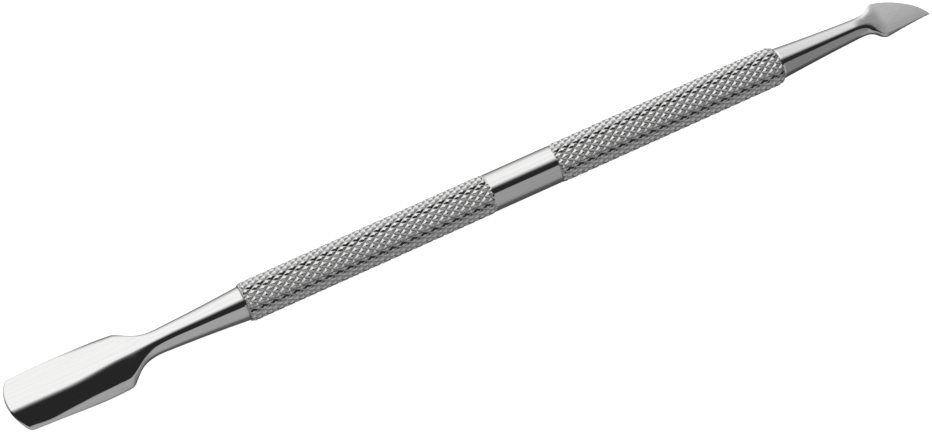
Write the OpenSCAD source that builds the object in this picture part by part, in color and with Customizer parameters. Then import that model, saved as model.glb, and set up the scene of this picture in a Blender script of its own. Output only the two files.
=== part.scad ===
// Double-ended cuticle pusher.
// A round knurled handle with a pusher blade pressed into one end and a scraper blade
// pressed into the other. Millimetres. X runs along the handle from the pusher to the
// scraper, Z is up, out of the pusher's convex face. The origin is on the handle's axis
// at the middle of the plain band.

/* [Handle] */
// Diameter over the knurled grips
grip_d = 5.5; // [5:0.1:8]
// Diameter of the plain band between the grips
band_d = 5.3; // [4.8:0.1:7]
// Length of the plain band
band_len = 9.6; // [4:0.1:20]
// Length of the grip on the pusher side
grip_pusher_len = 36.3; // [25:0.1:50]
// Length of the grip on the scraper side
grip_scraper_len = 34.4; // [25:0.1:50]
// Length over which a grip runs out into the band
grip_runout = 0.4; // [0.1:0.1:1]
// Chamfer on the pusher end of the handle
end_chamfer = 0.3; // [0.1:0.05:0.4]
// Edge radius on the scraper end of the handle
end_round = 0.6; // [0.2:0.05:0.6]

/* [Press-fit shanks] */
// Diameter of both bores and both shanks
shank_d = 3; // [2:0.1:3.6]
// Length of each shank
shank_len = 12; // [6:0.5:16]
// Air gap left between a shank and the bottom of its bore
bore_gap = 1; // [0.5:0.1:3]
// Lead-in chamfer on the shanks and the bore mouths
lead_in = 0.25; // [0.1:0.05:0.4]

/* [Pusher tip] */
// Neck diameter where it meets the handle
pusher_root_d = 4.8; // [4.2:0.1:5]
// Neck diameter at its narrowest, beside the blade
pusher_neck_d = 3.34; // [2.8:0.02:4]
// Length of the neck
pusher_neck_len = 12.9; // [8:0.1:20]
// How far the neck's side is hollowed in from a straight taper
pusher_neck_sag = 0.07; // [0.02:0.01:0.12]
// Length of the shoulder, from neck to full blade width
pusher_flare_len = 5.6; // [5.5:0.1:10]
// Length of the blade from the shoulder to its end
pusher_blade_len = 15.25; // [10:0.05:20]
// Blade width at the shoulder
pusher_w = 8.2; // [7:0.1:9]
// Blade width beside the rounded end
pusher_end_w = 7.7; // [6.5:0.1:9]
// Radius of the curved working end, seen from above
pusher_end_r = 5.9; // [5:0.1:8]
// Radius of the two corners of the working end
pusher_corner_r = 0.9; // [0.4:0.1:1.2]
// Radius of the blade's convex face across its width
pusher_face_r = 7.3; // [6.5:0.1:9]
// Height of the crown of the face above the handle's axis
pusher_crown_z = 0.66; // [0.2:0.02:0.9]
// Thickness of the blade's curved wall
pusher_thick = 0.95; // [0.7:0.05:1.2]
// Thickness left at the working end
pusher_lip = 0.4; // [0.3:0.05:0.6]
// Length of the bevel under the working end
pusher_bevel_len = 4; // [2:0.5:6]

/* [Scraper tip] */
// Neck diameter where it meets the handle
scraper_root_d = 4.36; // [3.8:0.02:4.4]
// Neck diameter at its narrowest, beside the blade
scraper_neck_d = 2.72; // [2.4:0.02:3.2]
// Length of the neck
scraper_neck_len = 13.4; // [8:0.1:20]
// How far the neck's side is hollowed in from a straight taper
scraper_neck_sag = 0.06; // [0.02:0.01:0.12]
// Length from the neck to the far shoulder
scraper_shoulder_len = 2.35; // [1.8:0.05:3.5]
// Length from the far shoulder to the point
scraper_blade_len = 7.15; // [5.5:0.05:10]
// Distance of the far shoulder from the axis
scraper_far_y = 2.12; // [1.8:0.02:2.6]
// Distance of the near shoulder from the axis
scraper_near_y = 2.64; // [2.3:0.02:3]
// Distance of the point from the axis
scraper_tip_y = 2.31; // [2.1:0.01:2.5]
// Height of the flat face above the axis at the shoulder
scraper_top_z = 0.8; // [0.6:0.05:1]
// Depth of the underside below the axis at the shoulder
scraper_under_z = 1.1; // [0.8:0.05:1.2]
// Thickness left at the point
scraper_point = 0.2; // [0.1:0.05:0.4]
// Thickness left along the curved edge, which is bevelled from below
scraper_edge = 0.4; // [0.2:0.05:0.8]

/* [Hidden] */
$fn = 96;
taper_steps = 8;
flare_steps = 6;
arc_steps = 8;
// small step left where two curved surfaces would otherwise only just touch
join_step = 0.03;
steel = [0.78, 0.78, 0.77];
polished = [0.88, 0.88, 0.87];
grip_r = grip_d / 2;
band_r = band_d / 2;
shank_r = shank_d / 2;
band_half = band_len / 2;
handle_x0 = -band_half - grip_pusher_len;
handle_x1 = band_half + grip_scraper_len;
bore_len = shank_len + bore_gap;
drill_point = shank_r * 0.6;

// pusher stations along X
pusher_x_neck = handle_x0 - pusher_neck_len;
pusher_x_shoulder = pusher_x_neck - pusher_flare_len;
pusher_x_end = pusher_x_shoulder - pusher_blade_len;
pusher_neck_r = pusher_neck_d / 2;
pusher_half_w = pusher_w / 2;
pusher_end_half_w = pusher_end_w / 2;
// centre of the working end's arc, and of its corner circles
pusher_end_cx = pusher_x_end + pusher_end_r;
pusher_corner_y = pusher_end_half_w - pusher_corner_r;
pusher_corner_dx = sqrt(pow(pusher_end_r - pusher_corner_r, 2) - pow(pusher_corner_y, 2));
pusher_corner_x = pusher_end_cx - pusher_corner_dx;
// slope of the face from the blade up to the neck
pusher_ramp = atan((pusher_neck_r - pusher_crown_z + 0.1) / pusher_flare_len);
// hollow underside
pusher_hollow_r = pusher_face_r - pusher_thick;
pusher_bevel_tilt = atan((pusher_thick - pusher_lip) / pusher_bevel_len);
pusher_hollow_z = pusher_crown_z - pusher_thick - pusher_hollow_r;

// scraper stations along X
scraper_x_neck = handle_x1 + scraper_neck_len;
scraper_x_far = scraper_x_neck + scraper_shoulder_len;
scraper_x_near = scraper_x_far + 0.36;
scraper_x_tip = scraper_x_far + scraper_blade_len;
scraper_neck_r = scraper_neck_d / 2;
// the far edge is two tangent arcs, a long shallow one and a tighter one to the point
far_mid_x = scraper_x_far + 0.745 * scraper_blade_len;
far_mid_y = 0.488 * scraper_far_y - 0.465 * scraper_tip_y;
far_tip_chord = norm([scraper_x_tip - far_mid_x, far_mid_y + scraper_tip_y]);
far_tip_sag = 0.093 * far_tip_chord;
far_tip_r = (pow(far_tip_chord / 2, 2) + pow(far_tip_sag, 2)) / (2 * far_tip_sag);
far_tip_dir = [far_mid_y + scraper_tip_y, scraper_x_tip - far_mid_x] / far_tip_chord;
far_tip_mid = [(far_mid_x + scraper_x_tip) / 2, (far_mid_y - scraper_tip_y) / 2];
far_tip_c = far_tip_mid - far_tip_dir * (far_tip_r - far_tip_sag);
far_dir = ([far_mid_x, far_mid_y] - far_tip_c) / far_tip_r;
far_chord = [far_mid_x - scraper_x_far, far_mid_y - scraper_far_y];
far_long_r = (far_chord * far_chord) / (2 * (far_chord * far_dir));
far_long_c = [far_mid_x, far_mid_y] - far_dir * far_long_r;
far_a0 = atan2(scraper_far_y - far_long_c[1], scraper_x_far - far_long_c[0]);
far_a1 = atan2(far_dir[1], far_dir[0]);
far_a2 = atan2(-scraper_tip_y - far_tip_c[1], scraper_x_tip - far_tip_c[0]);

// points down a tapered side hollowed in by sag, from (x0, r0) to (x1, r1)
function taper_side(x0, r0, x1, r1, sag) = [for (i = [0 : taper_steps])
    let (u = i / taper_steps)
    [x0 + (x1 - x0) * u, r0 + (r1 - r0) * u - 4 * sag * u * (1 - u)]];

// points along an S-shaped side from a neck (x0, r0) out to a shoulder (x1, r1); the arc
// beside the neck has radius r_neck, the one beside the shoulder r_out, and each turns by phi
function s_curve(x0, r0, x1, r1, dir, r_neck, r_out, phi) = concat(
    [for (i = [0 : flare_steps])
        let (a = phi * i / flare_steps)
        [x0 + dir * r_neck * sin(a), r0 + r_neck * (1 - cos(a))]],
    [for (i = [flare_steps - 1 : -1 : 0])
        let (a = phi * i / flare_steps)
        [x1 - dir * r_out * sin(a), r1 - r_out * (1 - cos(a))]]);

// the same side, where share is the part of the S that the arc beside the neck takes
function flare_side(x0, r0, x1, r1, share) =
    let (phi = 2 * atan((r1 - r0) / abs(x1 - x0)))
    let (r_sum = abs(x1 - x0) / sin(phi))
    s_curve(x0, r0, x1, r1, sign(x1 - x0), r_sum * share, r_sum * (1 - share), phi);

// a side's points mirrored to the other side of the axis, last one first
function mirrored(side) = [for (i = [len(side) - 1 : -1 : 0]) [side[i][0], -side[i][1]]];

// region between the axis and a side
module half_2d(side) {
    polygon(concat([[side[0][0], 0]], side, [[side[len(side) - 1][0], 0]]));
}

// point i of an arc from angle a0 to a1
function arc_point(c, r, a0, a1, i) =
    let (a = a0 + (a1 - a0) * i / arc_steps)
    c + r * [cos(a), sin(a)];

// turns a half outline drawn in X and Y about the X axis
module spun() {
    rotate([0, 90, 0]) rotate_extrude() mirror([1, -1, 0]) children();
}

// rod along X from x0 to x1
module rod(r, x0, x1) {
    translate([x0, 0, 0]) rotate([0, 90, 0]) cylinder(r = r, h = x1 - x0);
}

// shank with a lead-in chamfer at its inner end; dir is 1 when it points along +X
module shank(x_seat, dir) {
    spun() polygon([
        [x_seat, 0],
        [x_seat, shank_r],
        [x_seat + dir * (shank_len - lead_in), shank_r],
        [x_seat + dir * shank_len, shank_r - lead_in],
        [x_seat + dir * shank_len, 0]
    ]);
}

// blind bore with a lead-in mouth and a drill-point bottom
module blind_bore(x_mouth, dir) {
    spun() polygon([
        [x_mouth - dir, 0],
        [x_mouth - dir, shank_r + lead_in],
        [x_mouth, shank_r + lead_in],
        [x_mouth + dir * lead_in, shank_r],
        [x_mouth + dir * bore_len, shank_r],
        [x_mouth + dir * (bore_len + drill_point), 0]
    ]);
}

// half outline of the handle
module handle_2d() {
    corner = [handle_x1 - end_round, grip_r - end_round];
    half_2d(concat(
        [
            [handle_x0, grip_r - end_chamfer],
            [handle_x0 + end_chamfer, grip_r],
            [-band_half - grip_runout, grip_r],
            [-band_half, band_r],
            [band_half, band_r],
            [band_half + grip_runout, grip_r]
        ],
        [for (i = [0 : arc_steps]) arc_point(corner, end_round, 90, 0, i)]
    ));
}

module handle_bar() {
    color(steel) difference() {
        spun() handle_2d();
        blind_bore(handle_x0, 1);
        blind_bore(handle_x1, -1);
    }
}

// half of the blade seen from above, from the shoulder to the rounded end
module pusher_blade_half_2d() {
    polygon([
        [pusher_x_shoulder, 0],
        [pusher_x_shoulder, pusher_half_w],
        [pusher_corner_x, pusher_end_half_w],
        [pusher_corner_x, 0]
    ]);
    translate([pusher_corner_x, pusher_corner_y]) circle(r = pusher_corner_r);
    intersection() {
        translate([pusher_end_cx, 0]) circle(r = pusher_end_r, $fn = 360);
        polygon([
            [pusher_end_cx, 0],
            [pusher_end_cx - 2 * pusher_corner_dx, 2 * pusher_corner_y],
            [pusher_x_end - 1, 0]
        ]);
    }
}

// rounds the shoulder's section off where it meets the round neck
module pusher_round_off() {
    wide_r = pusher_half_w + 0.55;
    x_wide = pusher_x_shoulder + 0.9;
    side = flare_side(pusher_x_neck, pusher_neck_r, x_wide, wide_r, 0.58);
    spun() half_2d(concat(side, [[pusher_x_shoulder - 1, wide_r]]));
}

// rod along X just under the blade's convex face
module pusher_face_rod() {
    translate([0, 0, pusher_crown_z - pusher_face_r])
        rod(pusher_face_r, pusher_x_end - 2, pusher_x_shoulder + 1);
}

// the same rod tilted up from the shoulder to the neck
module pusher_face_ramp() {
    translate([pusher_x_shoulder, 0, pusher_crown_z + join_step])
        rotate([0, 90 - pusher_ramp, 0])
            translate([pusher_face_r, 0, -3])
                cylinder(r = pusher_face_r, h = pusher_flare_len + 6);
}

// bevel that thins the underside to a lip at the working end
module pusher_bevel() {
    translate([pusher_x_end + pusher_bevel_len, 0, pusher_hollow_z])
        rotate([0, -90 + pusher_bevel_tilt, 0])
            translate([0, 0, -1])
                cylinder(r = pusher_hollow_r, h = pusher_bevel_len + 4);
}

// curved blade from the shoulder to the working end
module pusher_blade() {
    difference() {
        intersection() {
            translate([0, 0, -pusher_neck_r])
                linear_extrude(height = 2 * pusher_neck_r) {
                    pusher_blade_half_2d();
                    mirror([0, 1]) pusher_blade_half_2d();
                }
            pusher_face_rod();
        }
        translate([0, 0, pusher_hollow_z])
            rod(pusher_hollow_r, pusher_x_end - 2, pusher_x_shoulder + 1);
        pusher_bevel();
    }
}

// shoulder from the round neck to the curved blade
module pusher_shoulder() {
    start_w = pusher_neck_r + join_step;
    side = flare_side(pusher_x_neck, start_w, pusher_x_shoulder, pusher_half_w, 0.58);
    difference() {
        intersection() {
            translate([0, 0, -pusher_neck_r])
                linear_extrude(height = 3 * pusher_neck_r)
                    polygon(concat(side, mirrored(side)));
            pusher_face_ramp();
            pusher_round_off();
        }
        translate([pusher_x_shoulder, 0, pusher_hollow_z])
            sphere(r = pusher_hollow_r - join_step);
    }
}

module pusher_tip() {
    color(polished) {
        shank(handle_x0, 1);
        spun() half_2d(taper_side(
            pusher_x_neck, pusher_neck_r, handle_x0, pusher_root_d / 2, pusher_neck_sag));
        pusher_shoulder();
        pusher_blade();
    }
}

// far edge of the scraper blade: a long shallow arc, then a tighter one to the point
far_edge = concat(
    [for (i = [1 : arc_steps]) arc_point(far_long_c, far_long_r, far_a0, far_a1, i)],
    [for (i = [1 : arc_steps]) arc_point(far_tip_c, far_tip_r, far_a1, far_a2, i)]);

// scraper blade seen from above
module scraper_plan_2d() {
    far = flare_side(scraper_x_neck, scraper_neck_r, scraper_x_far, scraper_far_y, 0.7);
    near = flare_side(scraper_x_neck, scraper_neck_r, scraper_x_near, scraper_near_y, 0.5);
    polygon(concat(far, far_edge, mirrored(near)));
}

// scraper blade seen from the side
module scraper_side_2d() {
    polygon([
        [scraper_x_neck, -scraper_neck_r],
        [scraper_x_far, -scraper_under_z],
        [scraper_x_tip, -scraper_point],
        [scraper_x_tip, 0],
        [scraper_x_far - 0.5, scraper_top_z],
        [scraper_x_neck, scraper_neck_r]
    ]);
}

// rounds the shoulder's section off to meet the round neck
module scraper_round_off() {
    wide_r = scraper_near_y + 0.6;
    side = flare_side(scraper_x_neck, scraper_neck_r, scraper_x_far, wide_r, 0.5);
    spun() half_2d(concat(side, [[scraper_x_tip + 1, wide_r]]));
}

// cuts the bevel under the curved edge, from the middle of the underside outwards
module scraper_bevel() {
    drop = scraper_top_z + scraper_under_z - scraper_edge;
    translate([scraper_x_neck, 0, -scraper_under_z])
        rotate([atan(drop / scraper_far_y), 0, 0])
            translate([0, -1, -3])
                cube([scraper_x_tip - scraper_x_neck + 2, 6, 3]);
}

module scraper_blade() {
    difference() {
        intersection() {
            translate([0, 0, -2 * scraper_neck_r])
                linear_extrude(height = 4 * scraper_neck_r) scraper_plan_2d();
            rotate([90, 0, 0])
                linear_extrude(height = 4 * scraper_near_y, center = true) scraper_side_2d();
            scraper_round_off();
        }
        scraper_bevel();
    }
}

module scraper_tip() {
    color(polished) {
        shank(handle_x1, -1);
        spun() half_2d(taper_side(
            handle_x1, scraper_root_d / 2, scraper_x_neck, scraper_neck_r, scraper_neck_sag));
        scraper_blade();
    }
}

handle_bar();
pusher_tip();
scraper_tip();
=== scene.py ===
"""Visual model of a double-ended cuticle pusher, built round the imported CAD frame."""
import math

import bpy
import numpy as np
from mathutils import Matrix, Vector


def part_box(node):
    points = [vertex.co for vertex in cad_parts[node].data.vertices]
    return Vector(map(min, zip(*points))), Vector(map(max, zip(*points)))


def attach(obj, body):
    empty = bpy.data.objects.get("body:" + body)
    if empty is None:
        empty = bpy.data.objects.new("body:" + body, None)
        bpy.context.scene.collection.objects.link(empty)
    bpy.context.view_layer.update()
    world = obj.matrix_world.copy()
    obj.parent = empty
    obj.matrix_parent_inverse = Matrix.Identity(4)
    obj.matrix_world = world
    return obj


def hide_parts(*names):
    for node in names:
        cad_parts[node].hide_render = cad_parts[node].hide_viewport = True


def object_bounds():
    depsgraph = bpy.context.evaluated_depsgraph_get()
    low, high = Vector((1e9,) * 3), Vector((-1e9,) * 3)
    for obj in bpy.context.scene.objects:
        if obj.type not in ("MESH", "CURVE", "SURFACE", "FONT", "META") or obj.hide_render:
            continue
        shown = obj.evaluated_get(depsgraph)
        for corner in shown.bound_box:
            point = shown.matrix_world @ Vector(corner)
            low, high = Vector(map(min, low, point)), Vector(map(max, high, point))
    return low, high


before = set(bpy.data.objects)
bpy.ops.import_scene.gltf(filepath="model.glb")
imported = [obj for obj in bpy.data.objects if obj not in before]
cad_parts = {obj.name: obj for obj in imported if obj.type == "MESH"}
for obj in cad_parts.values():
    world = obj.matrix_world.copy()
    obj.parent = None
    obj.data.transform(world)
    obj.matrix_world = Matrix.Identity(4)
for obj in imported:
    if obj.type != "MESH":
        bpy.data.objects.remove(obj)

CAD_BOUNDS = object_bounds()
MM = 0.001
# faces that meet at more than this are shaded with a hard edge
SHARP = math.radians(75)

# ---------------------------------------------------------------- sizes, in millimetres
HANDLE_LO, HANDLE_HI = (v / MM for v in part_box("handle_bar"))
X0, X1 = HANDLE_LO.x, HANDLE_HI.x
GRIP_R = HANDLE_HI.y
BAND_R = GRIP_R - 0.1
BAND_HALF = 4.8
# the crests and the grooves run out beside the band over these lengths
CREST_RUNOUT = 1.0
GROOVE_RUNOUT = 0.5
# length and depth of the rounding at each end, and where along it the grooves fade
PUSHER_SIDE_ROUND = (0.8, 0.3, 0.7)
SCRAPER_SIDE_ROUND = (1.2, 0.5, 0.8)
# rings at these distances from a grip's ends keep its rims crisp
RIM_RINGS = (0.0, 0.02, 0.05, 0.09)
SHANK_R = 1.5
SHANK_LEN = 12.0
# a ring on the shank's flat inner end, and the gap that keeps its root apart from the seat
SHANK_END_R = 0.6
SHANK_GAP = 0.001
BORE_LEN = 13.0
LEAD_IN = 0.25
# how far a tip's seat is broken at its edge
SEAT_BREAK = 0.08

# knurl: crossed helical V-grooves
STARTS = 16
KNURL_PITCH = 1.56
KNURL_SAMPLES = 16
GROOVE_DEPTH = 0.22
# half width of a groove, as a share of the spacing
GROOVE_HALF = 0.33
# tone of the steel at the bottom of a groove, darkened there as painted shade, and the depth share
# above which no shade is painted
GROOVE_SHADE_TONE = 0.8
GROOVE_SHADE_END = 0.3

# pusher tip, seen from above
P_ROOT_R = 2.40
P_NECK_R = 1.66
P_NECK_SAG = 0.07
P_NECK_X = X0 - 12.1
# the neck's sections are round up to here
P_ROUND_X = P_NECK_X + 2.7
P_SHOULDER_X = P_NECK_X - 5.9
P_BELLY_X = P_SHOULDER_X - 2.9
P_END_X = -74.82
P_HALF_W = 4.15
P_END_HALF_W = 3.886
P_END_R = 5.9
P_CORNER_R = 0.9
# the shoulder opens as GAIN * u ** POWER over LEN, then runs straight to a round corner
P_FLARE_GAIN = 0.0302
P_FLARE_POWER = 2.65
P_FLARE_LEN = 4.07
P_SHOULDER_R = 1.3
# pusher tip, across: the convex face with its soft crease; a pair is (by the neck, by the end)
P_CROWN_Z = 0.74
P_EDGE_Z = (-1.4, -0.45)
P_CREASE = 0.22
P_CREASE_SOFT = (0.26, 0.5)
P_CREASE_Y = (-0.08, -0.62)
P_TURN_DOWN = (10, 7)
P_CURVE = 0.046
# where these changes begin and where they are complete, in millimetres past the neck
P_FLAT_SPAN = (0.8, 6.3)
P_RIDGE_SPAN = (-0.7, 3.3)
P_CROWN_SPAN = (-2.2, 6.8)
P_EDGE_SPAN = (3.0, 5.8)
P_EDGE_RISE_SPAN = (4.8, 17.8)
P_CREASE_SOFT_SPAN = (4.8, 12.8)
P_CREASE_Y_SPAN = (5.3, 13.8)
P_TURN_DOWN_SPAN = (10.8, 18.8)
P_HOLLOW_SPAN = (6.4, 10.9)
# pusher tip, below: the wall of the hollow, at its middle, its rims and the working end
P_THICK = 0.95
P_RIM = 0.3
P_LIP = 0.38
P_BEVEL_LEN = 4.0
# reach and sharpness of the rounding of its edges, along the sides and at the working end
P_SIDE_EDGE = (0.15, 2.4)
P_END_EDGE = (0.27, 1.5)
P_END_EDGE_SPAN = (P_END_X + 0.8, P_END_X + 3)
P_EDGE_START = 1.0
# the working end is skewed by this share of y
P_SKEW = 0.05
P_SKEW_SPAN = (P_END_X + 1, P_END_X + 8)

# scraper tip, seen from above
S_ROOT_R = 2.2
S_NECK_R = 1.36
S_NECK_SAG = 0.06
S_NECK_X = X1 + 13.4
S_FAR_X = S_NECK_X + 2.35
S_NEAR_X = S_FAR_X + 0.36
S_TIP_X = S_FAR_X + 7.15
S_FAR_Y = 2.25
S_NEAR_Y = 2.6
S_TIP_Y = 2.31
# the share of each shoulder's length that the arc by the neck takes
S_FAR_SHARE = 0.7
S_NEAR_SHARE = 0.5
# the far edge's two arcs meet at this share of the blade's length and this distance across
S_MID_SHARE = 0.745
S_MID_Y = -0.1
S_TIP_BULGE = 0.06
# scraper tip, across: the nearly flat face, the leaning near wall, the underside and its bevels
S_BLEND_X = S_NECK_X - 1.6
S_BLEND_END_X = S_FAR_X + 1.2
S_FACE_X = S_FAR_X - 0.5
S_TOP_Z = 0.8
S_FACE_CURVE = 0.011
S_FACE_FLAT_Y = 1.5
S_WALL_OUT = 0.34
S_WALL_REACH = 0.5
S_WALL_DEPTH = 0.9
S_NEAR_BEVEL = 0.9
S_UNDER_Z = 1.1
S_POINT = 0.2
S_EDGE = 0.4
S_LEAST = 0.15
S_EDGE_REACH = 0.06
S_EDGE_POWER = 2.6
# the edges are fully rounded once the blade is this much flattened
S_EDGE_FROM = 2 / 3


# ---------------------------------------------------------------- helpers
def clamped(u):
    return min(max(u, 0.0), 1.0)


def smooth(a, b, x):
    """0 below a, 1 above b and an even S between."""
    t = clamped((x - a) / (b - a))
    return t * t * (3 - 2 * t)


def add_mesh(name, points_mm, faces):
    mesh = bpy.data.meshes.new(name)
    mesh.from_pydata((np.asarray(points_mm) * MM).tolist(), [], faces)
    mesh.validate()
    mesh.shade_smooth()
    mesh.set_sharp_from_angle(angle=SHARP)
    obj = bpy.data.objects.new(name, mesh)
    bpy.context.scene.collection.objects.link(obj)
    return obj


def ring_faces(rings, count):
    """Quads between neighbouring rings of count points each."""
    faces = []
    for j in range(rings - 1):
        a, b = j * count, (j + 1) * count
        for i in range(count):
            k = (i + 1) % count
            faces.append((a + i, a + k, b + k, b + i))
    return faces


def lofted(name, rings, faces=None):
    """A closed skin through rings of equal point count, with a fan at each end."""
    count = len(rings[0])
    faces = faces or ring_faces(len(rings), count)
    points = np.concatenate(rings + [[rings[0].mean(0), rings[-1].mean(0)]])
    first, last = len(points) - 2, len(points) - 1
    base = (len(rings) - 1) * count
    for i in range(count):
        k = (i + 1) % count
        faces.append((first, k, i))
        faces.append((last, base + i, base + k))
    return add_mesh(name, points, faces)


def spaced(a, b, count, crowding):
    """count numbers from a towards b, crowded towards b when crowding is above 1."""
    u = np.linspace(0, 1, count + 1)[1:]
    return a + (b - a) * (1 - (1 - u) ** crowding)


# ---------------------------------------------------------------- handle
KNURL_COUNT = STARTS * KNURL_SAMPLES
KNURL_STEP = KNURL_PITCH / KNURL_SAMPLES
TURN = np.arange(KNURL_COUNT) / KNURL_COUNT


def circle(x, radius):
    """A ring of points round the X axis; radius is one number or one per point."""
    angle = 2 * math.pi * TURN
    return np.stack([np.full(KNURL_COUNT, x), -radius * np.cos(angle), radius * np.sin(angle)], 1)


def knurl_depth(x):
    """Depth of the crossed grooves all the way round at x."""
    depth = 0
    for hand in (1, -1):
        phase = STARTS * TURN + hand * x / KNURL_PITCH
        off = np.abs(phase - np.round(phase))
        depth = np.maximum(depth, GROOVE_DEPTH * np.clip(1 - off / GROOVE_HALF, 0, 1))
    return depth


def grip_radius(x, x_end, rounding):
    """Radius all round a grip at x, with its rounded end and its run-out beside the band."""
    length, deep, fade = rounding
    u = clamped(1 - (abs(x_end) - abs(x)) / length)
    away = abs(x) - BAND_HALF
    crest = BAND_R + (GRIP_R - BAND_R) * smooth(0, CREST_RUNOUT, away)
    grooves = knurl_depth(x) * (1 - smooth(fade, 1.0, u)) * smooth(0, GROOVE_RUNOUT, away)
    return crest - grooves - deep * (1 - math.sqrt(1 - u * u))


def grip(name, x_end, x_band, rounding):
    """A knurled grip from the handle's end to the band, closed round a blind bore."""
    lo, hi = min(x_end, x_band), max(x_end, x_band)
    inner = np.arange(math.ceil(lo / KNURL_STEP), math.floor(hi / KNURL_STEP) + 1) * KNURL_STEP
    ends = [e for gap in RIM_RINGS for e in (lo + gap, hi - gap)]
    xs = np.unique(np.round(np.concatenate([inner, ends]), 4))
    rings = [circle(x, grip_radius(x, x_end, rounding)) for x in xs]
    inward = 1 if x_band > x_end else -1
    if inward < 0:
        rings = rings[::-1]
    bore = [
        circle(x_end + inward * BORE_LEN, SHANK_R),
        circle(x_end + inward * LEAD_IN, SHANK_R),
        circle(x_end, SHANK_R + LEAD_IN),
    ]
    rings = bore + rings
    return lofted(name, rings, knurl_faces(rings))


def knurl_faces(rings):
    """Triangles over the rings, each quad split along the groove that is nearest to it."""
    faces = []
    for j in range(len(rings) - 1):
        a, b = j * KNURL_COUNT, (j + 1) * KNURL_COUNT
        x = (rings[j][0, 0] + rings[j + 1][0, 0]) / 2 / KNURL_STEP
        forward = rings[j + 1][0, 0] > rings[j][0, 0]
        for i in range(KNURL_COUNT):
            k = (i + 1) % KNURL_COUNT
            rising = (i + 0.5 + x) % KNURL_SAMPLES
            falling = (i + 0.5 - x) % KNURL_SAMPLES
            to_rising = min(rising, KNURL_SAMPLES - rising)
            to_falling = min(falling, KNURL_SAMPLES - falling)
            if (to_rising < to_falling) == forward:
                faces += [(a + i, a + k, b + i), (a + k, b + k, b + i)]
            else:
                faces += [(a + i, a + k, b + k), (a + i, b + k, b + i)]
    return faces


def plain_band(name):
    return lofted(name, [circle(x, BAND_R) for x in np.linspace(-BAND_HALF, BAND_HALF, 25)])


# ---------------------------------------------------------------- sections of the tips
# rings crowd towards a tip's end over its last stretch and stop just short of it
P_FINE_LEN = 2.2
S_FINE_LEN = 0.8
END_GAP = 0.0005
# points of a section across the blade, closer together towards the two edges
SPREAD = np.sin(np.linspace(-math.pi / 2, math.pi / 2, 81))


def section(x, near, far, faces):
    """One closed ring of a tip: over the top from the near side, then back underneath."""
    y = (far - near) / 2 + (far + near) / 2 * SPREAD
    top, bottom = faces(y)
    over = np.stack([np.full_like(y, x), y, top], 1)
    under = np.stack([np.full_like(y, x), y, bottom], 1)[::-1]
    return np.concatenate([over, under[1:-1]])


def round_section(x, r):
    def faces(y):
        z = np.sqrt(np.maximum(r * r - y * y, 0))
        return z, -z

    return section(x, r, r, faces)


def shank_rings(x_seat, inward, root_r):
    """Rings of a shank from its chamfered inner end to the seat on the handle's face."""
    inner = x_seat + inward * SHANK_LEN
    return [
        round_section(inner, SHANK_END_R),
        round_section(inner, SHANK_R - LEAD_IN),
        round_section(inner - inward * LEAD_IN, SHANK_R),
        round_section(x_seat + inward * SHANK_GAP, SHANK_R),
        round_section(x_seat, root_r - SEAT_BREAK),
    ]


def both_sides(xs, near, far):
    """The outline of a blade seen from above, for measuring distances to it."""
    return np.concatenate([np.stack([xs, far], 1), np.stack([xs, -near], 1)])


def rounded_edge(x, y, top, bottom, outline, reach, power):
    """Turns top and bottom towards each other within reach of the outline."""
    p = np.stack([np.full_like(y, x), y], 1)
    distance = np.sqrt(((p[:, None, :] - outline[None]) ** 2).sum(2)).min(1)
    t = np.clip(1 - distance / reach, 0, 1)
    turned = 1 - (1 - t ** power) ** (1 / power)
    return (bottom - top) / 2 * turned


def taper(x, x0, r0, x1, r1, sag):
    """A neck's half width at x, hollowed in by sag from a straight taper."""
    u = clamped((x - x0) / (x1 - x0))
    return r0 + (r1 - r0) * u - 4 * sag * u * (1 - u)


def s_curve(x, x0, r0, x1, r1, share):
    """Half width of an S-shaped shoulder from (x0, r0) out to (x1, r1), made of two arcs."""
    run = x1 - x0
    phi = 2 * math.atan((r1 - r0) / run)
    r_neck = share * run / math.sin(phi)
    r_out = (1 - share) * run / math.sin(phi)
    u = min(max(x - x0, 0.0), run)
    if u < r_neck * math.sin(phi):
        return r0 + r_neck - math.sqrt(r_neck ** 2 - u ** 2)
    return r1 - r_out + math.sqrt(r_out ** 2 - (run - u) ** 2)


# ---------------------------------------------------------------- pusher tip
def pusher_flare(x):
    """Half width of the shoulder: it opens out of the neck, then a straight and a round corner."""
    slope = P_FLARE_GAIN * P_FLARE_POWER * P_FLARE_LEN ** (P_FLARE_POWER - 1)
    bend = math.atan(slope)
    corner_start = P_NECK_X - P_SHOULDER_X - P_SHOULDER_R * math.sin(bend)
    u = P_NECK_X - x
    opening = P_NECK_R + P_FLARE_GAIN * min(u, P_FLARE_LEN) ** P_FLARE_POWER
    straight = opening + max(0.0, min(u, corner_start) - P_FLARE_LEN) * slope
    if u < corner_start:
        return straight
    v = P_NECK_X - P_SHOULDER_X - u
    return straight + math.sqrt(P_SHOULDER_R ** 2 - v * v) - P_SHOULDER_R * math.cos(bend)


P_FLARE_W = pusher_flare(P_SHOULDER_X)
P_CORNER_Y = P_END_HALF_W - P_CORNER_R
P_END_CX = P_END_X + P_END_R
P_CORNER_DX = math.sqrt((P_END_R - P_CORNER_R) ** 2 - P_CORNER_Y ** 2)
P_CORNER_X = P_END_CX - P_CORNER_DX
P_TOUCH_X = P_END_CX - P_CORNER_DX * P_END_R / (P_END_R - P_CORNER_R)


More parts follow.
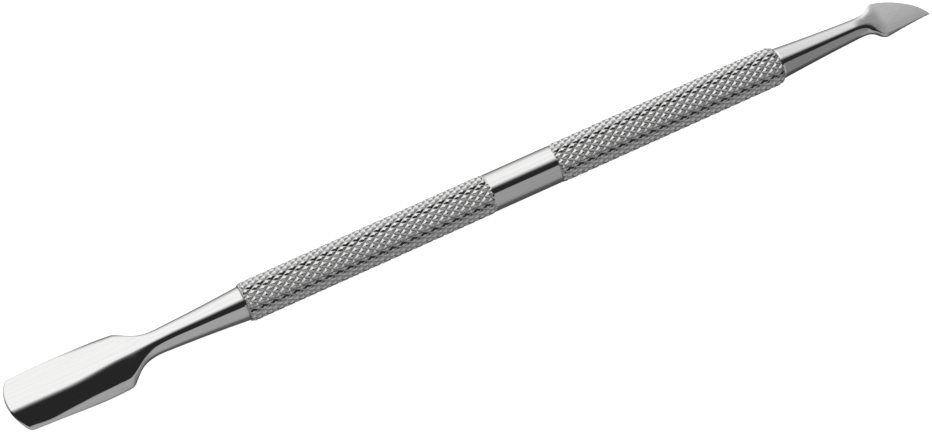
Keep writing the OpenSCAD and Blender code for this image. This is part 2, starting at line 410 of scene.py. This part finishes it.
def pusher_half_width(x):
    """Half width of the pusher tip seen from above."""
    if x >= P_NECK_X:
        return taper(x, P_NECK_X, P_NECK_R, X0, P_ROOT_R, P_NECK_SAG)
    if x >= P_SHOULDER_X:
        return pusher_flare(x)
    if x >= P_BELLY_X:
        u = (x - P_BELLY_X) / (P_SHOULDER_X - P_BELLY_X)
        return P_HALF_W - (P_HALF_W - P_FLARE_W) * u * u
    if x >= P_CORNER_X:
        u = (P_BELLY_X - x) / (P_BELLY_X - P_CORNER_X)
        return P_HALF_W - (P_HALF_W - P_END_HALF_W) * u * u
    if x >= P_TOUCH_X:
        return P_CORNER_Y + math.sqrt(max(P_CORNER_R ** 2 - (P_CORNER_X - x) ** 2, 0))
    return math.sqrt(max(P_END_R ** 2 - (P_END_CX - x) ** 2, 0))


def past_neck(x, span, before, after):
    """A value at x that changes over a span past the neck."""
    begins, complete = span
    return after + (before - after) * smooth(P_NECK_X - complete, P_NECK_X - begins, x)


def pusher_top(x, neck_r, y):
    """Height of the pusher's convex face at y, and of its edges, flowing out of the round neck."""
    w = pusher_half_width(max(x, P_CORNER_X))
    s = np.clip(np.abs(y) / w, 0, 1)
    blade = past_neck(x, P_FLAT_SPAN, 0, 1)
    creased = past_neck(x, P_RIDGE_SPAN, 0, 1)
    crown = past_neck(x, P_CROWN_SPAN, neck_r, P_CROWN_Z)
    edge = past_neck(x, P_EDGE_RISE_SPAN, *P_EDGE_Z) * past_neck(x, P_EDGE_SPAN, 0, 1)
    crease_y = past_neck(x, P_CREASE_Y_SPAN, *P_CREASE_Y)
    soft = past_neck(x, P_CREASE_SOFT_SPAN, *P_CREASE_SOFT)
    turn_down = past_neck(x, P_TURN_DOWN_SPAN, *P_TURN_DOWN)

    def crease(v):
        return P_CREASE * (np.sqrt((v - crease_y) ** 2 + soft ** 2) - soft)

    at_edge = np.where(y < 0, crease(-w), crease(w))
    rest = crown - edge - at_edge - P_CURVE * w * w / 2
    drop = crease(y) + P_CURVE * y * y / 2 + rest * s ** turn_down
    round_drop = crown * (1 - np.sqrt(1 - s * s))
    # the crease runs on over the shoulder after the flat blade has ended
    ridge = (creased - blade) * (crease(y) - at_edge * s * s)
    return crown - round_drop * (1 - blade) - drop * blade - ridge, edge * blade


def pusher_section(x, outline):
    """One ring of the pusher from its neck to its working end."""
    w = pusher_half_width(x)
    neck_r = pusher_half_width(max(x, P_NECK_X))
    hollow = past_neck(x, P_HOLLOW_SPAN, 0, 1)
    middle = P_THICK + (P_LIP - P_THICK) * clamped((P_END_X + P_BEVEL_LEN - x) / P_BEVEL_LEN)
    begun = clamped((P_NECK_X + P_EDGE_START - x) / (2 * P_EDGE_START))
    along = smooth(*P_END_EDGE_SPAN, x)
    reach, power = (end + (side - end) * along for side, end in zip(P_SIDE_EDGE, P_END_EDGE))

    def faces(y):
        s = np.clip(np.abs(y) / w, 0, 1)
        top, edge = pusher_top(x, neck_r, y)
        solid = edge - (neck_r + edge) * np.sqrt(1 - s * s)
        wall = P_RIM + (middle - P_RIM) * (1 - s * s)
        bottom = np.minimum(solid, top) * (1 - hollow) + (top - wall) * hollow
        bottom = np.maximum(bottom, -neck_r)
        turn = begun * rounded_edge(x, y, top, bottom, outline, reach, power)
        return top + turn, bottom - turn

    ring = section(x, w, w, faces)
    ring[:, 0] -= P_SKEW * ring[:, 1] * (1 - smooth(*P_SKEW_SPAN, x))
    return ring


def pusher_tip(name):
    xs = np.concatenate([
        np.linspace(P_NECK_X, P_SHOULDER_X, 200),
        spaced(P_SHOULDER_X, P_END_X, 700, 2.0),
    ])
    half = np.array([pusher_half_width(x) for x in xs])
    outline = both_sides(xs, half, half)
    rings = shank_rings(X0, 1, P_ROOT_R)
    for x in np.linspace(X0 - SEAT_BREAK, P_ROUND_X, 40):
        rings.append(round_section(x, pusher_half_width(x)))
    stations = np.concatenate([
        np.linspace(P_ROUND_X - 0.1, P_SHOULDER_X - 1, 90),
        spaced(P_SHOULDER_X - 1, P_END_X + P_FINE_LEN, 50, 1.0),
        spaced(P_END_X + P_FINE_LEN, P_END_X + END_GAP, 70, 2.2),
    ])
    rings += [pusher_section(x, outline) for x in stations]
    return lofted(name, rings)


# ---------------------------------------------------------------- scraper tip
def scraper_near_width(x):
    if x <= S_NECK_X:
        return taper(x, X1, S_ROOT_R, S_NECK_X, S_NECK_R, S_NECK_SAG)
    if x <= S_NEAR_X:
        return s_curve(x, S_NECK_X, S_NECK_R, S_NEAR_X, S_NEAR_Y, S_NEAR_SHARE)
    u = (x - S_NEAR_X) / (S_TIP_X - S_NEAR_X)
    return S_NEAR_Y + (S_TIP_Y - S_NEAR_Y) * u


def far_arcs():
    """Centres and radii of the far edge's long arc and of the arc that meets it at the point."""
    mid = np.array([S_FAR_X + S_MID_SHARE * (S_TIP_X - S_FAR_X), S_MID_Y])
    tip = np.array([S_TIP_X, -S_TIP_Y])
    chord = tip - mid
    length = float(np.linalg.norm(chord))
    sag = S_TIP_BULGE * length
    tip_r = (length ** 2 / 4 + sag ** 2) / (2 * sag)
    outward = np.array([-chord[1], chord[0]]) / length
    tip_c = (mid + tip) / 2 - outward * (tip_r - sag)
    shared = (mid - tip_c) / tip_r
    back = mid - np.array([S_FAR_X, S_FAR_Y])
    long_r = float(back @ back / (2 * (back @ shared)))
    return mid[0], mid - shared * long_r, long_r, tip_c, tip_r


FAR_MID_X, LONG_C, LONG_R, TIP_C, TIP_R = far_arcs()


def scraper_far_width(x):
    if x <= S_NECK_X:
        return taper(x, X1, S_ROOT_R, S_NECK_X, S_NECK_R, S_NECK_SAG)
    if x <= S_FAR_X:
        return s_curve(x, S_NECK_X, S_NECK_R, S_FAR_X, S_FAR_Y, S_FAR_SHARE)
    centre, radius = (LONG_C, LONG_R) if x <= FAR_MID_X else (TIP_C, TIP_R)
    return float(centre[1] + math.sqrt(max(radius ** 2 - (x - centre[0]) ** 2, 0)))


def scraper_section(x, outline):
    """One ring of the scraper from its neck to its point."""
    near, far = scraper_near_width(x), scraper_far_width(x)
    centre, half = (far - near) / 2, (far + near) / 2
    neck_r = scraper_near_width(min(x, S_NECK_X))
    blade = 1 - (1 - smooth(S_BLEND_X, S_BLEND_END_X, x)) ** 2
    along = (x - S_FAR_X) / (S_TIP_X - S_FAR_X)
    on_blade = max(along, 0.0)
    face_z = S_TOP_Z * (S_TIP_X - x) / (S_TIP_X - S_FACE_X)
    under_z = -S_UNDER_Z + (S_UNDER_Z - S_POINT) * along
    wall = S_WALL_DEPTH + (S_POINT - S_WALL_DEPTH) * on_blade
    far_slope = (S_TOP_Z + S_UNDER_Z - S_EDGE) / S_FAR_Y
    begun = clamped(blade / S_EDGE_FROM)

    def faces(y):
        s = np.clip((y - centre) / half, -1, 1)
        oval = neck_r * np.sqrt(1 - s * s)
        flat_top = face_z - S_FACE_CURVE * np.minimum(y - S_FACE_FLAT_Y, 0) ** 2
        far_bevel = -S_UNDER_Z + far_slope * np.maximum(y, 0)
        near_bevel = face_z - wall + S_NEAR_BEVEL * np.minimum(-near - y, 0)
        flat = np.maximum(np.maximum(under_z, far_bevel), near_bevel)
        flat = np.minimum(flat, flat_top - S_LEAST)
        top = oval * (1 - blade) + flat_top * blade
        bottom = -oval * (1 - blade) + flat * blade
        turn = begun * rounded_edge(x, y, top, bottom, outline, S_EDGE_REACH, S_EDGE_POWER)
        return top + turn, bottom - turn

    ring = section(x, near, far, faces)
    # the near wall leans outward as it goes down
    out = S_WALL_OUT * blade * max(0.0, 1 - on_blade)
    close = np.clip(1 - (ring[:, 1] + near) / S_WALL_REACH, 0, 1)
    low = np.clip((face_z - ring[:, 2]) / S_WALL_DEPTH, 0, 1)
    ring[:, 1] -= out * close * low
    return ring


def scraper_tip(name):
    xs = np.concatenate([
        np.linspace(S_NECK_X, S_FAR_X, 200),
        spaced(S_FAR_X, S_TIP_X, 700, 1.6),
    ])
    near = np.array([scraper_near_width(x) for x in xs])
    far = np.array([scraper_far_width(x) for x in xs])
    outline = both_sides(xs, near, far)
    rings = shank_rings(X1, -1, S_ROOT_R)
    for x in np.linspace(X1 + SEAT_BREAK, S_BLEND_X, 40):
        rings.append(round_section(x, scraper_near_width(x)))
    stations = np.concatenate([
        np.linspace(S_BLEND_X + 0.1, S_FAR_X + 0.8, 84),
        spaced(S_FAR_X + 0.8, S_TIP_X - S_FINE_LEN, 50, 1.0),
        spaced(S_TIP_X - S_FINE_LEN, S_TIP_X - END_GAP, 50, 1.8),
    ])
    rings += [scraper_section(x, outline) for x in stations]
    return lofted(name, rings)


# ---------------------------------------------------------------- materials
NODE_SETTINGS = ("operation", "blend_type", "data_type", "interpolation_type")


def node(tree, kind, *values, **inputs):
    """A shader node; values fill its inputs in order, and names set inputs or settings."""
    made = tree.nodes.new(kind)
    for key, value in list(enumerate(values)) + list(inputs.items()):
        if key in NODE_SETTINGS:
            setattr(made, key, value)
            continue
        socket = made.inputs[key.replace("_", " ") if isinstance(key, str) else key]
        if hasattr(value, "is_output"):
            tree.links.new(value, socket)
        else:
            socket.default_value = value
    return made


def tinted(tree, a, b):
    """Two colours multiplied together."""
    mix = node(tree, "ShaderNodeMix", data_type="RGBA", blend_type="MULTIPLY", Factor=1.0)
    for slot, value in ((6, a), (7, b)):
        if hasattr(value, "is_output"):
            tree.links.new(value, mix.inputs[slot])
        else:
            mix.inputs[slot].default_value = value
    return mix.outputs[2]


def streaks(tree, place, stretch, detail, roughness):
    """Noise drawn out along the tool."""
    drawn = node(tree, "ShaderNodeMapping", Vector=place, Scale=stretch).outputs[0]
    return node(tree, "ShaderNodeTexNoise", Vector=drawn, Scale=1.0, Detail=detail,
                Roughness=roughness).outputs[0]


def groove_shade(tree, place):
    """Painted shade: darker steel colour at the bottom of the knurl's grooves, none on its crests.
    """
    apart = node(tree, "ShaderNodeSeparateXYZ", Vector=place)
    across = node(tree, "ShaderNodeCombineXYZ", Y=apart.outputs["Y"], Z=apart.outputs["Z"])
    radius = node(tree, "ShaderNodeVectorMath", across.outputs[0], operation="LENGTH")
    return node(tree, "ShaderNodeMapRange", Value=radius.outputs["Value"],
                From_Min=(GRIP_R - GROOVE_DEPTH) * MM,
                From_Max=(GRIP_R - GROOVE_SHADE_END * GROOVE_DEPTH) * MM,
                To_Min=GROOVE_SHADE_TONE, To_Max=1.0).outputs[0]


# how much the noise is squeezed along the tool and across it, per metre
FINE_STREAKS = (90, 5200, 5200)
BROAD_STREAKS = (35, 2000, 2000)
CLOUDS = 320.0
RELIEF = 0.00002
# where the sum and the product of two noises mostly lie
NOISE_SUM = (0.7, 1.3)
NOISE_PRODUCT = (0.15, 0.35)


def steel(name, base, rough, rough_spread, streak, bump, knurled=False):
    """Polished steel with fine and broad streaks along the tool and an uneven polish."""
    mat = bpy.data.materials.new(name)
    mat.use_nodes = True
    tree = mat.node_tree
    shader = tree.nodes["Principled BSDF"]
    shader.inputs["Metallic"].default_value = 1
    place = tree.nodes.new("ShaderNodeTexCoord").outputs["Object"]
    fine = streaks(tree, place, FINE_STREAKS, 3.0, 0.6)
    broad = streaks(tree, place, BROAD_STREAKS, 2.0, 0.5)
    cloud = node(tree, "ShaderNodeTexNoise", Vector=place, Scale=CLOUDS, Detail=4.0, Roughness=0.55)

    both = node(tree, "ShaderNodeMath", fine, broad, operation="ADD")
    tone = node(tree, "ShaderNodeMapRange", Value=both.outputs[0], From_Min=NOISE_SUM[0],
                From_Max=NOISE_SUM[1], To_Min=1 - 2 * streak, To_Max=1.0)
    colour = tinted(tree, (*base, 1), tone.outputs[0])
    # on the knurl, painted shade darkens the colour down in its grooves
    if knurled:
        colour = tinted(tree, colour, groove_shade(tree, place))
    tree.links.new(colour, shader.inputs["Base Color"])

    uneven = node(tree, "ShaderNodeMath", fine, cloud.outputs[0], operation="MULTIPLY")
    finish = node(tree, "ShaderNodeMapRange", Value=uneven.outputs[0], From_Min=NOISE_PRODUCT[0],
                  From_Max=NOISE_PRODUCT[1], To_Min=rough, To_Max=rough + rough_spread)
    tree.links.new(finish.outputs[0], shader.inputs["Roughness"])
    relief = node(tree, "ShaderNodeBump", Strength=bump, Distance=RELIEF, Height=fine)
    tree.links.new(relief.outputs[0], shader.inputs["Normal"])
    return mat


# ---------------------------------------------------------------- build the pieces
KNURLED = steel("knurled_steel", (0.95, 0.95, 0.945), 0.10, 0.08, 0.05, 0.15, knurled=True)
BAND = steel("band_steel", (0.95, 0.95, 0.945), 0.06, 0.05, 0.05, 0.12)
MIRROR = steel("mirror_steel", (0.96, 0.96, 0.955), 0.05, 0.04, 0.04, 0.10)
GROUND = steel("ground_steel", (0.93, 0.93, 0.925), 0.08, 0.06, 0.05, 0.12)


def place_piece(obj, cad_node, material):
    obj.data.materials.append(material)
    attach(obj, "root")
    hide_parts(cad_node)


place_piece(grip("grip_pusher_side", X0, -BAND_HALF, PUSHER_SIDE_ROUND),
            "handle_bar", KNURLED)
place_piece(grip("grip_scraper_side", X1, BAND_HALF, SCRAPER_SIDE_ROUND),
            "handle_bar", KNURLED)
place_piece(plain_band("plain_band"), "handle_bar", BAND)
place_piece(pusher_tip("pusher_blade_tip"), "pusher_tip", MIRROR)
place_piece(scraper_tip("scraper_blade_tip"), "scraper_tip", GROUND)


# ---------------------------------------------------------------- floor
FLOOR_HALF = 1.5
FLOOR_GAP = 0.0002
FLOOR_GLOW = 0.92


def pale_floor(half, z):
    """A plain floor just under the tool that glows softly and stays out of reflections."""
    corners = [(x * half, y * half, z) for x, y in ((-1, -1), (1, -1), (1, 1), (-1, 1))]
    mesh = bpy.data.meshes.new("floor")
    mesh.from_pydata(corners, [], [(0, 1, 2, 3)])
    floor = bpy.data.objects.new("floor", mesh)
    bpy.context.scene.collection.objects.link(floor)
    mat = bpy.data.materials.new("pale_floor")
    mat.use_nodes = True
    shader = mat.node_tree.nodes["Principled BSDF"]
    shader.inputs["Base Color"].default_value = (0.85, 0.85, 0.85, 1)
    shader.inputs["Roughness"].default_value = 1
    shader.inputs["Specular IOR Level"].default_value = 0
    shader.inputs["Emission Color"].default_value = (1, 1, 1, 1)
    shader.inputs["Emission Strength"].default_value = FLOOR_GLOW
    mesh.materials.append(mat)
    floor.visible_glossy = False


pale_floor(FLOOR_HALF, CAD_BOUNDS[0].z - FLOOR_GAP)


# ---------------------------------------------------------------- soft studio light all round
# each is (from, to, value there, value there); angles go round the X axis in degrees, from
# straight up, positive behind the tool, and the others are shares of the direction's X
WHITE_FRONT = (-8, 20, 0.0, 1.0)
WHITE_BACK = (76, 138, 1.0, 0.15)
WHITE_TO_SCRAPER = (0.31, 0.64, 0.93, 0.3)
WHITE_TO_PUSHER = (-0.75, -0.3, 0.2, 1.0)
GREY_TOP = (-1.5, 1.5, 1.0, 0.0)
GREY_FRONT = (-140, -100, 0.2, 1.0)
GREY_ALONG = (0.1, 0.45, 0.35, 0.2)
# the grey panel's upper edge, in degrees, dips from the scraper's side to the pusher's
GREY_TOP_AT = (0.06, 0.22, -41, -34)
AMBIENT = 0.02


def studio():
    """A sky with a white panel above and behind the tool and a grey panel in front of it."""
    world = bpy.data.worlds.new("studio")
    bpy.context.scene.world = world
    world.use_nodes = True
    tree = world.node_tree
    way = tree.nodes.new("ShaderNodeTexCoord").outputs["Generated"]
    split = node(tree, "ShaderNodeSeparateXYZ", Vector=way)
    x = split.outputs["X"]

    def combine(operation, a, b):
        return node(tree, "ShaderNodeMath", a, b, operation=operation).outputs[0]

    def ramp(value, a, b, low, high):
        return node(tree, "ShaderNodeMapRange", interpolation_type="SMOOTHSTEP", Value=value,
                    From_Min=a, From_Max=b, To_Min=low, To_Max=high).outputs[0]

    def angle_ramp(value, a, b, low, high):
        return ramp(value, math.radians(a), math.radians(b), low, high)

    def product(*factors):
        total = factors[0]
        for factor in factors[1:]:
            total = combine("MULTIPLY", total, factor)
        return total

    angle = combine("ARCTAN2", split.outputs["Y"], split.outputs["Z"])
    white = product(angle_ramp(angle, *WHITE_FRONT), angle_ramp(angle, *WHITE_BACK),
                    ramp(x, *WHITE_TO_SCRAPER), ramp(x, *WHITE_TO_PUSHER))
    a, b, low, high = GREY_TOP_AT
    past_top = combine("SUBTRACT", angle, ramp(x, a, b, math.radians(low), math.radians(high)))
    grey = product(angle_ramp(past_top, *GREY_TOP), angle_ramp(angle, *GREY_FRONT),
                   ramp(x, *GREY_ALONG))
    back = tree.nodes["Background"]
    light = combine("ADD", combine("MAXIMUM", white, grey), AMBIENT)
    tree.links.new(light, back.inputs["Color"])
    back.inputs["Strength"].default_value = 1.0


studio()

# ---------------------------------------------------------------- camera
TILT = math.radians(11.5)
ROLL = math.radians(18.5)
SLOPE = math.radians(24.17)
DISTANCE = 430.0
# the width in view at the aim, which is AIM_DROP below the axis at AIM_X
VIEW_W = 124.599
AIM_X = -9.03
AIM_DROP = 1.50
SENSOR_W = 36.0


def add_camera():
    """A camera above the tool, tilted towards the pusher and turned so that the tool rises."""
    lean = Vector((0, -math.sin(ROLL), math.cos(ROLL)))
    across = Vector((0, math.cos(ROLL), math.sin(ROLL)))
    toward = lean * math.cos(TILT) - Vector((math.sin(TILT), 0, 0))
    along = lean * math.sin(TILT) + Vector((math.cos(TILT), 0, 0))
    right = along * math.cos(SLOPE) - across * math.sin(SLOPE)
    up = along * math.sin(SLOPE) + across * math.cos(SLOPE)
    data = bpy.data.cameras.new("camera")
    data.sensor_width = SENSOR_W
    data.sensor_fit = "HORIZONTAL"
    data.lens = DISTANCE / VIEW_W * SENSOR_W
    data.clip_start = 0.01
    data.clip_end = 10
    camera = bpy.data.objects.new("camera", data)
    bpy.context.scene.collection.objects.link(camera)
    aim = Vector((AIM_X, 0, 0)) - across * AIM_DROP
    turn = Matrix((right, up, toward)).transposed().to_4x4()
    camera.matrix_world = Matrix.Translation((aim + toward * DISTANCE) * MM) @ turn
    bpy.context.scene.camera = camera


add_camera()
bpy.context.scene.view_settings.view_transform = "Standard"
